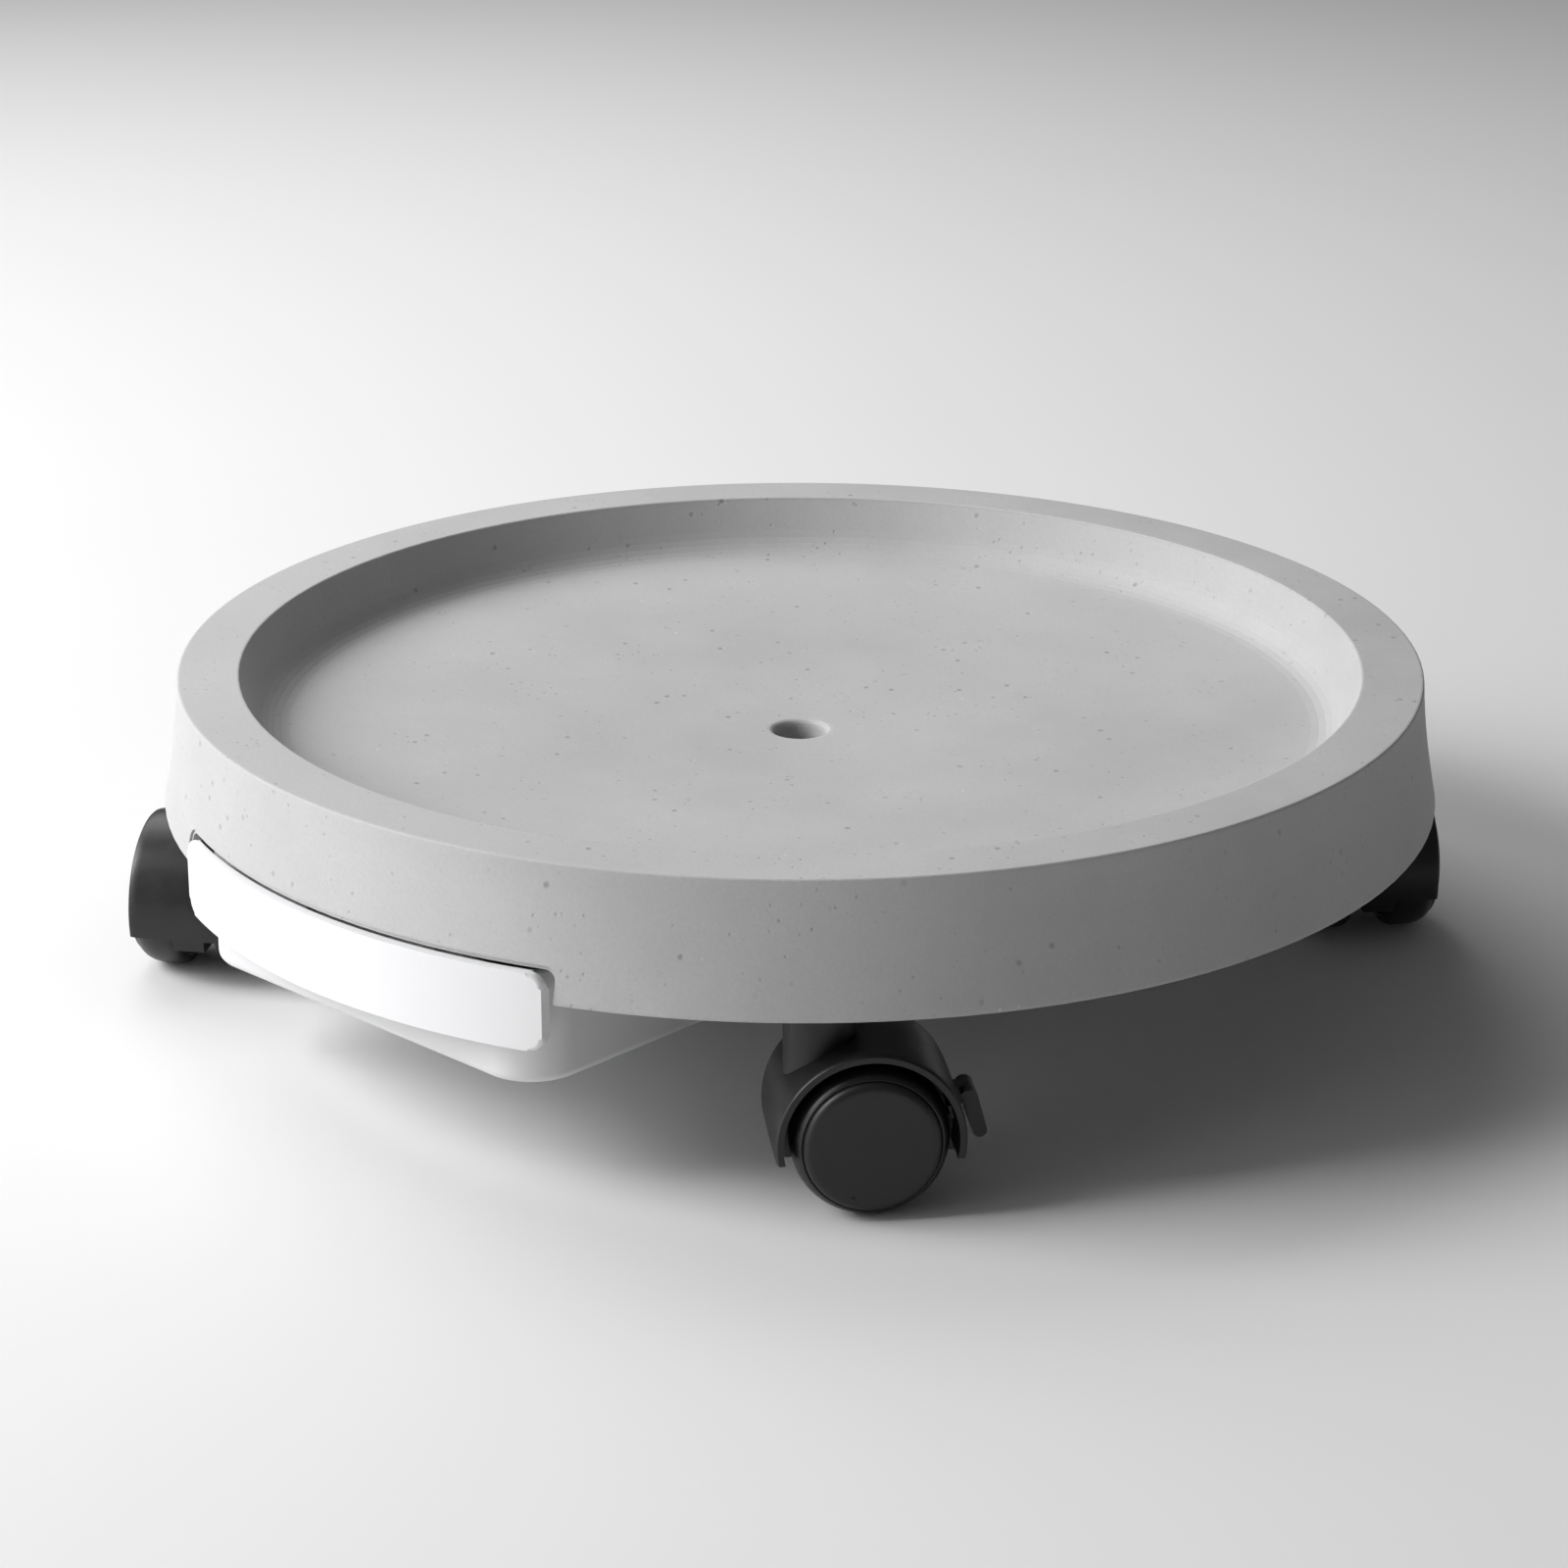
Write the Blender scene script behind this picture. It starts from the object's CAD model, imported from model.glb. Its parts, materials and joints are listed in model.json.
import json
import math
import bmesh
import bpy
from mathutils import Matrix, Vector


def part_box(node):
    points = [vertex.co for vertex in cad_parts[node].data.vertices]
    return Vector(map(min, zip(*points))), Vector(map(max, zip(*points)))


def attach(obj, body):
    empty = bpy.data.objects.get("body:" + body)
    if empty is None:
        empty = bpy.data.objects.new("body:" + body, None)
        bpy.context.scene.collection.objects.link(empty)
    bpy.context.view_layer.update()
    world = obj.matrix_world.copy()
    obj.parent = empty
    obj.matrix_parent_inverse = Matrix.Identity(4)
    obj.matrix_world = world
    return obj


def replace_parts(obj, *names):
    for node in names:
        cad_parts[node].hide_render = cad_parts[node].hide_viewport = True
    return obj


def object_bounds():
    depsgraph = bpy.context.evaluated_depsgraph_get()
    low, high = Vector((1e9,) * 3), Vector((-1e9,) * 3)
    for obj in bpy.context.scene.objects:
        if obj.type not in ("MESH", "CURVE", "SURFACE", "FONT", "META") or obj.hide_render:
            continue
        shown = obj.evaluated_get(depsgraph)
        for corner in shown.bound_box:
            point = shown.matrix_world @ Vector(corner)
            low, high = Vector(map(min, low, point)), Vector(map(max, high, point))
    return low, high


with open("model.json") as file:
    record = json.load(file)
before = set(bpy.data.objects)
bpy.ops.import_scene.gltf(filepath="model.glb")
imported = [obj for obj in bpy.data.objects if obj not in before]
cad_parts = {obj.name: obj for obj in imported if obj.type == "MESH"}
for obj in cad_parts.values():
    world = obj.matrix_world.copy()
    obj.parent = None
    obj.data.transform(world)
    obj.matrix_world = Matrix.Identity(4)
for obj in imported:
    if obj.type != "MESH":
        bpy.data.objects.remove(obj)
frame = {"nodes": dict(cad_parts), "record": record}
CAD_LO, CAD_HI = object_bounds()

MM = 0.001
CASTORS = ("front_left", "front_right", "back_right", "back_left")
BRAKED = ("front_right", "back_left")

TRAY_LO, TRAY_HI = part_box("tray")
FRONT_LO, FRONT_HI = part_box("drawer_front")
PAN_LO, PAN_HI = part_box("drawer_pan")
JOINTS = {joint["name"]: joint for joint in frame["record"]["behaviour"]["joints"]}
UP = Vector((0, 0, 1))

# where the photograph was taken from, round the middle of the tray's underside, in degrees and metres;
# the lens and sensor are in millimetres
CAM_AZIMUTH = 43.2
CAM_ELEVATION = 20.053
CAM_DISTANCE = 1.1533
CAM_LENS = 92.475
CAM_SENSOR = 36
CAM_CLIP = (0.05, 50)
CAM_PAN = -0.224
CAM_TILT = -0.174
CAM_ROLL = 0.133

# studio: sizes in metres, and the strength of the white world
LIGHT_DISTANCE = 1.8
LIGHT_TARGET = Vector((0, 0, (TRAY_LO.z + TRAY_HI.z) / 2))
WORLD_LEVEL = 0.1
FLOOR_REACH = 8


# ---------------------------------------------------------------- materials

class Shader:
    """A material being made: node() adds a node, and the rest build its usual stretches."""

    def __init__(self, name, **sockets):
        self.mat = bpy.data.materials.new(name)
        self.mat.use_nodes = True
        self.tree = self.mat.node_tree
        self.bsdf = self.tree.nodes["Principled BSDF"]
        self.place = self.node("ShaderNodeTexCoord").outputs["Object"]
        for key, value in sockets.items():
            self.bsdf.inputs[key.replace("_", " ")].default_value = value

    def node(self, kind, **settings):
        made = self.tree.nodes.new(kind)
        for key, value in settings.items():
            setattr(made, key, value)
        return made

    def wire(self, source, target):
        self.tree.links.new(source, target)

    def noise(self, scale, detail=2.0, rough=0.5, stretch=(1, 1, 1)):
        mapping = self.node("ShaderNodeMapping")
        mapping.inputs["Scale"].default_value = stretch
        self.wire(self.place, mapping.inputs["Vector"])
        made = self.node("ShaderNodeTexNoise")
        self.wire(mapping.outputs["Vector"], made.inputs["Vector"])
        made.inputs["Scale"].default_value = scale
        made.inputs["Detail"].default_value = detail
        made.inputs["Roughness"].default_value = rough
        return made.outputs["Fac"]

    def spots(self, scale, size, soft, shift=0.0):
        """1 inside round spots and 0 between them. The spots' size and soft edge are shares of a cell."""
        mapping = self.node("ShaderNodeMapping")
        mapping.inputs["Location"].default_value = (shift, shift, shift)
        self.wire(self.place, mapping.inputs["Vector"])
        cells = self.node("ShaderNodeTexVoronoi")
        self.wire(mapping.outputs["Vector"], cells.inputs["Vector"])
        cells.inputs["Scale"].default_value = scale
        return self.span(cells.outputs["Distance"], size + soft, size, 0.0, 1.0)

    def span(self, value, from_low, from_high, to_low, to_high):
        made = self.node("ShaderNodeMapRange")
        self.wire(value, made.inputs["Value"])
        limits = {"From Min": from_low, "From Max": from_high, "To Min": to_low, "To Max": to_high}
        for key, number in limits.items():
            made.inputs[key].default_value = number
        return made.outputs["Result"]

    def math(self, operation, a, b):
        made = self.node("ShaderNodeMath", operation=operation)
        for socket, value in zip(made.inputs, (a, b)):
            if isinstance(value, (int, float)):
                socket.default_value = value
            else:
                self.wire(value, socket)
        return made.outputs["Value"]

    def mix(self, share, a, b):
        made = self.node("ShaderNodeMix", data_type="RGBA")
        self.wire(share, made.inputs["Factor"])
        for socket, value in ((made.inputs[6], a), (made.inputs[7], b)):
            if isinstance(value, tuple):
                socket.default_value = (*value, 1)
            else:
                self.wire(value, socket)
        return made.outputs[2]

    def bump(self, height, distance, strength=1.0):
        made = self.node("ShaderNodeBump")
        made.inputs["Strength"].default_value = strength
        made.inputs["Distance"].default_value = distance
        self.wire(height, made.inputs["Height"])
        self.wire(made.outputs["Normal"], self.bsdf.inputs["Normal"])

    def color(self, socket):
        self.wire(socket, self.bsdf.inputs["Base Color"])

    def rough(self, socket):
        self.wire(socket, self.bsdf.inputs["Roughness"])


def grey(value, tint=0.0):
    return (value, value, value * (1 + tint))


def make_cement():
    """Stone-filled plastic: cloudy grey, a sandy grain, soft dark pits of two sizes and a few pale grains."""
    s = Shader("cement_plastic")
    clouds = s.noise(14, 5, 0.62)
    grain = s.noise(1100, 3, 0.7)
    base = s.mix(s.span(clouds, 0.34, 0.66, 0, 1), grey(0.5), grey(0.56))
    base = s.mix(s.span(grain, 0.32, 0.68, 0.3, 0.0), base, grey(0.4))
    patches = s.span(s.noise(45, 2), 0.46, 0.56, 0, 1)
    big = s.math("MULTIPLY", s.spots(130, 0.05, 0.09), patches)
    small_patches = s.span(s.noise(70, 2), 0.5, 0.6, 0, 1)
    small = s.math("MULTIPLY", s.spots(310, 0.05, 0.14, 0.21), small_patches)
    pits = s.math("MAXIMUM", big, s.math("MULTIPLY", small, 0.8))
    pale_patches = s.span(s.noise(30, 1), 0.45, 0.55, 0, 1)
    pale = s.math("MULTIPLY", s.spots(95, 0.02, 0.03, 0.37), pale_patches)
    base = s.mix(s.math("MULTIPLY", pits, 0.55), base, grey(0.2))
    s.color(s.mix(s.math("MULTIPLY", pale, 0.7), base, grey(0.8)))
    s.rough(s.span(clouds, 0.3, 0.7, 0.56, 0.7))
    s.bump(s.math("SUBTRACT", s.math("MULTIPLY", grain, 0.2), pits), 0.00018, 0.7)
    return s.mat


def make_white():
    """Satin white moulding with a faint orange-peel surface."""
    s = Shader("white_plastic", IOR=1.49)
    flow = s.noise(35, 3)
    s.color(s.mix(flow, grey(0.86, 0.01), grey(0.9, 0.02)))
    s.rough(s.span(s.noise(220, 2), 0.3, 0.7, 0.3, 0.4))
    s.bump(s.noise(420, 2), 0.00004, 0.5)
    return s.mat


def make_pan():
    """Thin off-white polypropylene, slightly milky."""
    s = Shader("pan_plastic", IOR=1.49)
    s.color(s.mix(s.noise(24, 3), grey(0.74, 0.01), grey(0.79, 0.01)))
    s.rough(s.span(s.noise(160, 2), 0.3, 0.7, 0.38, 0.5))
    s.bump(s.noise(600, 2), 0.00004, 0.5)
    return s.mat


def make_rail():
    """Plain light grey moulding, hidden under the tray."""
    s = Shader("rail_plastic")
    s.color(s.mix(s.noise(60, 3), grey(0.55), grey(0.62)))
    s.rough(s.span(s.noise(200, 2), 0.3, 0.7, 0.45, 0.6))
    s.bump(s.noise(900, 2), 0.00005, 0.6)
    return s.mat


def make_nylon():
    """Black glass-filled nylon: fine spark-eroded texture, with paler rubbed patches."""
    s = Shader("black_nylon")
    grain = s.noise(2600, 2, 0.6)
    rubbed = s.span(s.noise(70, 5, 0.65), 0.5, 0.72, 0, 1)
    s.color(s.mix(rubbed, grey(0.007, 0.1), grey(0.012, 0.12)))
    s.rough(s.math("ADD", s.span(grain, 0.3, 0.7, 0.33, 0.43), s.math("MULTIPLY", rubbed, 0.08)))
    s.bump(grain, 0.00005, 0.6)
    return s.mat


def make_wheel():
    """Black nylon tyre with dust in its pores."""
    s = Shader("wheel_black")
    dust = s.span(s.noise(260, 4, 0.7), 0.56, 0.74, 0, 1)
    s.color(s.mix(dust, grey(0.008, 0.1), grey(0.018, 0.05)))
    s.rough(s.span(dust, 0, 1, 0.36, 0.55))
    s.bump(s.noise(1500, 3), 0.00006, 0.6)
    return s.mat


def make_cap():
    """Black nylon cap, hazier and a little paler than the tyre."""
    s = Shader("cap_black")
    haze = s.span(s.noise(45, 4, 0.6), 0.4, 0.7, 0, 1)
    s.color(s.mix(haze, grey(0.01, 0.12), grey(0.015, 0.12)))
    s.rough(s.span(haze, 0, 1, 0.42, 0.52))
    s.bump(s.noise(1800, 2), 0.00004, 0.5)
    return s.mat


def make_steel():
    """Bright zinc plating with fine drawing lines."""
    s = Shader("steel", Metallic=1.0)
    lines = s.noise(300, 2, 0.5, (1, 1, 12))
    s.color(s.mix(s.noise(80, 3), grey(0.55, 0.03), grey(0.7, 0.02)))
    s.rough(s.span(lines, 0.3, 0.7, 0.22, 0.38))
    s.bump(lines, 0.00002, 0.5)
    return s.mat


MATERIALS = {
    "cement_plastic": make_cement(),
    "white_plastic": make_white(),
    "pan_plastic": make_pan(),
    "rail_plastic": make_rail(),
    "black_nylon": make_nylon(),
    "wheel_black": make_wheel(),
    "cap_black": make_cap(),
    "steel": make_steel(),
}


def dress_nodes():
    """Gives each CAD node the material of its slot in the record."""
    for part in frame["record"]["subparts"]:
        node = frame["nodes"][part["node"]]
        node.data.materials.clear()
        node.data.materials.append(MATERIALS[part["material_slot"]])


def soften_nodes():
    """Small moulding rounds on the castors' and rails' sharp edges."""
    for castor in CASTORS:
        soften(frame["nodes"]["hood_" + castor], 0.45 * MM)
        for side in ("inner", "outer"):
            soften(frame["nodes"][f"wheel_{castor}_{side}"], 0.25 * MM)
            soften(frame["nodes"][f"cap_{castor}_{side}"], 0.2 * MM)
    for castor in BRAKED:
        soften(frame["nodes"]["brake_lever_" + castor], 0.6 * MM)
    for side in ("left", "right"):
        soften(frame["nodes"]["rail_" + side], 0.3 * MM)


# ---------------------------------------------------------------- mesh helpers

WELD_GAP = 0.001 * MM
FLAT_ANGLE = math.radians(0.6)
ROUND_ANGLE = math.radians(28)
SMOOTH_ANGLE = math.radians(32)
ROUND_STEPS = 2


def new_piece(name, bm, slot, body):
    """Turns a finished bmesh into a smooth-shaded piece that rides on a body."""
    bmesh.ops.recalc_face_normals(bm, faces=bm.faces)
    mesh = bpy.data.meshes.new(name)
    bm.to_mesh(mesh)
    bm.free()
    piece = bpy.data.objects.new(name, mesh)
    bpy.context.scene.collection.objects.link(piece)
    mesh.materials.append(MATERIALS[slot])
    mesh.set_sharp_from_angle(angle=SMOOTH_ANGLE)
    mesh.polygons.foreach_set("use_smooth", [True] * len(mesh.polygons))
    shade = piece.modifiers.new("shade", "WEIGHTED_NORMAL")
    shade.keep_sharp = True
    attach(piece, body)
    return piece


def soften(node, width):
    """Small rounds on a CAD node's sharp edges, as modifiers only."""
    node.modifiers.new("joined", "WELD").merge_threshold = WELD_GAP
    flat = node.modifiers.new("flat", "DECIMATE")
    flat.decimate_type = "DISSOLVE"
    flat.angle_limit = FLAT_ANGLE
    bevel = node.modifiers.new("rounds", "BEVEL")
    bevel.width = width
    bevel.segments = ROUND_STEPS
    bevel.limit_method = "ANGLE"
    bevel.angle_limit = ROUND_ANGLE
    bevel.use_clamp_overlap = True
    bevel.harden_normals = False
    shade = node.modifiers.new("shade", "WEIGHTED_NORMAL")
    shade.keep_sharp = True


def rounded_rect(x0, x1, y0, y1, r, steps):
    """Points of a rectangle with round corners, anticlockwise."""
    points = []
    corners = ((x1 - r, y1 - r, 0), (x0 + r, y1 - r, 90), (x0 + r, y0 + r, 180), (x1 - r, y0 + r, 270))
    for cx, cy, start in corners:
        for k in range(steps + 1):
            a = math.radians(start + 90 * k / steps)
            points.append((cx + r * math.cos(a), cy + r * math.sin(a)))
    return points


def skin(bm, rings):
    """Quads between rings of equal length, with a face over each end."""
    loops = [[bm.verts.new(p) for p in ring] for ring in rings]
    count = len(loops[0])
    for a, b in zip(loops, loops[1:]):
        for k in range(count):
            bm.faces.new((a[k], a[(k + 1) % count], b[(k + 1) % count], b[k]))
    bm.faces.new(loops[0])
    bm.faces.new(loops[-1])


def arc(c0, c1, r, start, end, steps):
    """Points on a quarter or other arc in a plane, from start to end degrees."""
    angles = [math.radians(start + (end - start) * k / steps) for k in range(steps + 1)]
    return [(c0 + r * math.cos(a), c1 + r * math.sin(a)) for a in angles]


def block(bm, lo, hi, r):
    """A box with rounded edges, added to bm."""
    made = bmesh.ops.create_cube(bm, size=1.0)["verts"]
    size = Vector(hi) - Vector(lo)
    middle = (Vector(hi) + Vector(lo)) / 2
    for v in made:
        v.co = Vector((v.co.x * size.x, v.co.y * size.y, v.co.z * size.z)) + middle
    edges = list({e for v in made for e in v.link_edges})
    bmesh.ops.bevel(bm, geom=edges, offset=r, segments=ROUND_STEPS, affect="EDGES", profile=0.5)


# ---------------------------------------------------------------- drawer

FRONT_R = -FRONT_LO.y
FRONT_T = 2.6 * MM
FRONT_H = 21 * MM
FRONT_ROUND = 1.0 * MM
FRONT_CORNER = 4 * MM
FRONT_CORNER_STEPS = 8
FRONT_SLICES = 56
SAME_DEPTH = 1e-7

SHELF_HALF = 50 * MM
SHELF_RISE = 5 * MM
SHELF_INSET = 1.3 * MM
SHELF_STEPS = 24
HOOK_X = 25 * MM
HOOK_W = 18 * MM
HOOK_T = 2 * MM
HOOK_REACH = 4 * MM

PAN_T = 2.2 * MM
PAN_CORNER = 15 * MM
PAN_CORNER_STEPS = 14
PAN_FOOT = 2.5 * MM
PAN_INNER_FOOT = 2.0 * MM
PAN_LIP = 0.9 * MM
FLANGE_W = 3.6 * MM
FLANGE_T = 2 * MM
FLANGE_START = -150 * MM
FLANGE_BITE = 1.0 * MM
FLANGE_ROUND = 0.4 * MM


def curved(x, depth, z):
    """A point of the drawer front: x and z as seen from the front, depth measured inwards."""
    r = FRONT_R - depth
    return Vector((x, -math.sqrt(r * r - x * x), z))


def add_panel(bm):
    """The bent panel: a rounded flat plate, sliced so that it can follow the tray's wall."""
    half, low = FRONT_HI.x, FRONT_LO.z
    outline = rounded_rect(-half, half, low, low + FRONT_H, FRONT_CORNER, FRONT_CORNER_STEPS)
    skin(bm, [[Vector((x, depth, z)) for x, z in outline] for depth in (0, FRONT_T)])
    rims = [e for e in bm.edges if abs(e.verts[0].co.y - e.verts[1].co.y) < SAME_DEPTH]
    bmesh.ops.bevel(bm, geom=rims, offset=FRONT_ROUND, segments=4, affect="EDGES", profile=0.5)
    for k in range(1, FRONT_SLICES):
        cut = (half * (2 * k / FRONT_SLICES - 1), 0, 0)
        whole = bm.verts[:] + bm.edges[:] + bm.faces[:]
        bmesh.ops.bisect_plane(bm, geom=whole, plane_co=cut, plane_no=(1, 0, 0))
    for v in bm.verts:
        v.co = curved(*v.co)


def add_shelf(bm, shelf_z):
    """The shelf between the panel and the pan's front wall."""
    xs = [SHELF_HALF * (2 * k / SHELF_STEPS - 1) for k in range(SHELF_STEPS + 1)]
    edge = [curved(x, SHELF_INSET, 0) for x in xs]
    edge += [Vector((x, PAN_LO.y, 0)) for x in (SHELF_HALF, -SHELF_HALF)]
    skin(bm, [[Vector((p.x, p.y, z)) for p in edge] for z in (shelf_z, shelf_z + PAN_T)])


def add_hook(bm, x, shelf_z):
    """A hook over the pan's front wall: up from the shelf, across the wall and down inside it."""
    top, inside = PAN_HI.z, PAN_T + HOOK_T
    outline = [(-HOOK_T, shelf_z), (-HOOK_T, top + HOOK_T), (inside, top + HOOK_T),
               (inside, top - HOOK_REACH), (PAN_T, top - HOOK_REACH), (PAN_T, top), (0, top), (0, shelf_z)]
    sides = (x - HOOK_W / 2, x + HOOK_W / 2)
    skin(bm, [[Vector((side, PAN_LO.y + y, z)) for y, z in outline] for side in sides])


def make_drawer_front():
    """The drawer's panel, with the shelf and the two hooks that hold it on the pan."""
    bm = bmesh.new()
    add_panel(bm)
    shelf_z = FRONT_LO.z + SHELF_RISE
    add_shelf(bm, shelf_z)
    for x in (-HOOK_X, HOOK_X):
        add_hook(bm, x, shelf_z)
    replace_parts(new_piece("drawer_panel", bm, "white_plastic", "drawer"), "drawer_front")


def pan_section():
    """The pan's wall from its underside over the lip to its inner floor: (inset from the outside, height)."""
    bottom, top = PAN_LO.z, PAN_HI.z
    floor, lip_z = bottom + PAN_T, top - PAN_LIP
    outer_foot = [(PAN_FOOT - x, z) for x, z in arc(0, bottom + PAN_FOOT, PAN_FOOT, -90, 0, 5)]
    outer_lip = [(PAN_LIP - x, z) for x, z in arc(0, lip_z, PAN_LIP, 0, 90, 3)]
    inner_lip = [(PAN_T - PAN_LIP - x, z) for x, z in arc(0, lip_z, PAN_LIP, 90, 180, 3)]
    foot_arc = arc(0, floor + PAN_INNER_FOOT, PAN_INNER_FOOT, 180, 270, 5)
    inner_foot = [(PAN_T + PAN_INNER_FOOT + x, z) for x, z in foot_arc]
    return outer_foot + outer_lip + inner_lip + inner_foot


def pan_ring(inset, z):
    """The pan's outline in plan, that far in from its outside."""
    half = PAN_HI.x - FLANGE_W - inset
    y0, y1 = PAN_LO.y + inset, PAN_HI.y - inset
    outline = rounded_rect(-half, half, y0, y1, PAN_CORNER - inset, PAN_CORNER_STEPS)
    return [Vector((x, y, z)) for x, y in outline]


def make_drawer_pan():
    """The thin-walled pan with a rounded foot and lip, and the two flanges that slide in the rails."""
    bm = bmesh.new()
    skin(bm, [pan_ring(inset, z) for inset, z in pan_section()])
    half, top = PAN_HI.x - FLANGE_W, PAN_HI.z
    for side in (-1, 1):
        x0, x1 = sorted((side * (half - FLANGE_BITE), side * (half + FLANGE_W)))
        block(bm, (x0, FLANGE_START, top - FLANGE_T), (x1, PAN_HI.y - PAN_CORNER, top), FLANGE_ROUND)
    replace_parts(new_piece("drawer_tray", bm, "pan_plastic", "drawer"), "drawer_pan")


# ---------------------------------------------------------------- castors

# CAP_FACE is how far a cap's flat face stands from the middle of its castor.
# PIP_PROFILE holds pairs: share of PIP_R, rise over the face.
CAP_FACE = 19.6 * MM
PIP_R = 0.7 * MM
PIP_ACROSS = -5 * MM
PIP_DROP = 13.5 * MM
PIP_STEPS = 16
PIP_PROFILE = ((1, -0.1 * MM), (1, 0.1 * MM), (0.75, 0.22 * MM), (0.35, 0.26 * MM))


def make_cap_pip(castor, side, sign):
    """The moulding gate's small round scar, low on the face of a wheel cap."""
    joint = JOINTS[f"spin_{castor}_{side}"]
    axle, along = Vector(joint["pos_m"]), Vector(joint["axis"]).normalized()
    out = along * sign
    across = UP.cross(out).normalized()
    middle = axle + out * CAP_FACE + across * PIP_ACROSS + Vector((0, 0, -PIP_DROP))
    angles = [2 * math.pi * k / PIP_STEPS for k in range(PIP_STEPS)]
    rings = []
    for share, rise in PIP_PROFILE:
        centre, r = middle + out * rise, PIP_R * share
        rings.append([centre + (across * math.cos(a) + UP * math.sin(a)) * r for a in angles])
    bm = bmesh.new()
    skin(bm, rings)
    new_piece(f"cap_pip_{castor}_{side}", bm, "cap_black", f"wheel_{castor}_{side}")


# ---------------------------------------------------------------- scene

def make_floor():
    """The pale studio floor that the wheels stand on."""
    bm = bmesh.new()
    bmesh.ops.create_grid(bm, x_segments=1, y_segments=1, size=FLOOR_REACH)
    mesh = bpy.data.meshes.new("floor")
    bm.to_mesh(mesh)
    bm.free()
    floor = bpy.data.objects.new("floor", mesh)
    bpy.context.scene.collection.objects.link(floor)
    floor.location.z = CAD_LO.z
    s = Shader("pale_floor", Roughness=0.85)
    s.color(s.mix(s.noise(3, 2), grey(0.84), grey(0.86)))
    mesh.materials.append(s.mat)


def direction(azimuth, elevation):
    """Unit vector from the object towards a place at that azimuth and elevation, in degrees."""
    a, e = math.radians(azimuth), math.radians(elevation)
    return Vector((math.sin(a) * math.cos(e), -math.cos(a) * math.cos(e), math.sin(e)))


def make_light(name, azimuth, elevation, size, power):
    """A square soft box that faces the tray. The size is in metres and the power in watts."""
    data = bpy.data.lights.new(name, "AREA")
    data.shape = "SQUARE"
    data.size = size
    data.energy = power
    lamp = bpy.data.objects.new(name, data)
    lamp.location = LIGHT_TARGET + direction(azimuth, elevation) * LIGHT_DISTANCE
    lamp.rotation_euler = (LIGHT_TARGET - lamp.location).to_track_quat("-Z", "Y").to_euler()
    bpy.context.scene.collection.objects.link(lamp)


def make_world():
    """A dim even white round the whole studio, and colours shown as they are rendered."""
    world = bpy.data.worlds.new("studio")
    world.use_nodes = True
    background = world.node_tree.nodes["Background"]
    background.inputs["Color"].default_value = (1, 1, 1, 1)
    background.inputs["Strength"].default_value = WORLD_LEVEL
    bpy.context.scene.world = world
    bpy.context.scene.view_settings.view_transform = "Standard"


def make_camera():
    """Looks at the middle of the tray's underside, then turns by the photo's small pan, tilt and roll."""
    back = direction(CAM_AZIMUTH, CAM_ELEVATION)
    right = Vector((-back.y, back.x, 0)).normalized()
    square_on = Matrix((right, back.cross(right), back)).transposed()
    aim = square_on
    for degrees, axis in ((-CAM_PAN, "Y"), (CAM_TILT, "X"), (CAM_ROLL, "Z")):
        aim = aim @ Matrix.Rotation(math.radians(degrees), 3, axis)
    data = bpy.data.cameras.new("camera")
    data.lens = CAM_LENS
    data.sensor_width = CAM_SENSOR
    data.clip_start, data.clip_end = CAM_CLIP
    camera = bpy.data.objects.new("camera", data)
    place = Vector((0, 0, TRAY_LO.z)) + back * CAM_DISTANCE
    camera.matrix_world = Matrix.Translation(place) @ aim.to_4x4()
    bpy.context.scene.collection.objects.link(camera)
    bpy.context.scene.camera = camera


dress_nodes()
soften_nodes()
make_drawer_front()
make_drawer_pan()
for castor in CASTORS:
    for side, sign in (("inner", -1), ("outer", 1)):
        make_cap_pip(castor, side, sign)
make_floor()
make_light("key", CAM_AZIMUTH - 85, 35, 1.0, 33)
make_light("low", CAM_AZIMUTH - 60, 12, 1.0, 6)
make_light("back", CAM_AZIMUTH - 150, 45, 1.2, 13.5)
make_world()
make_camera()
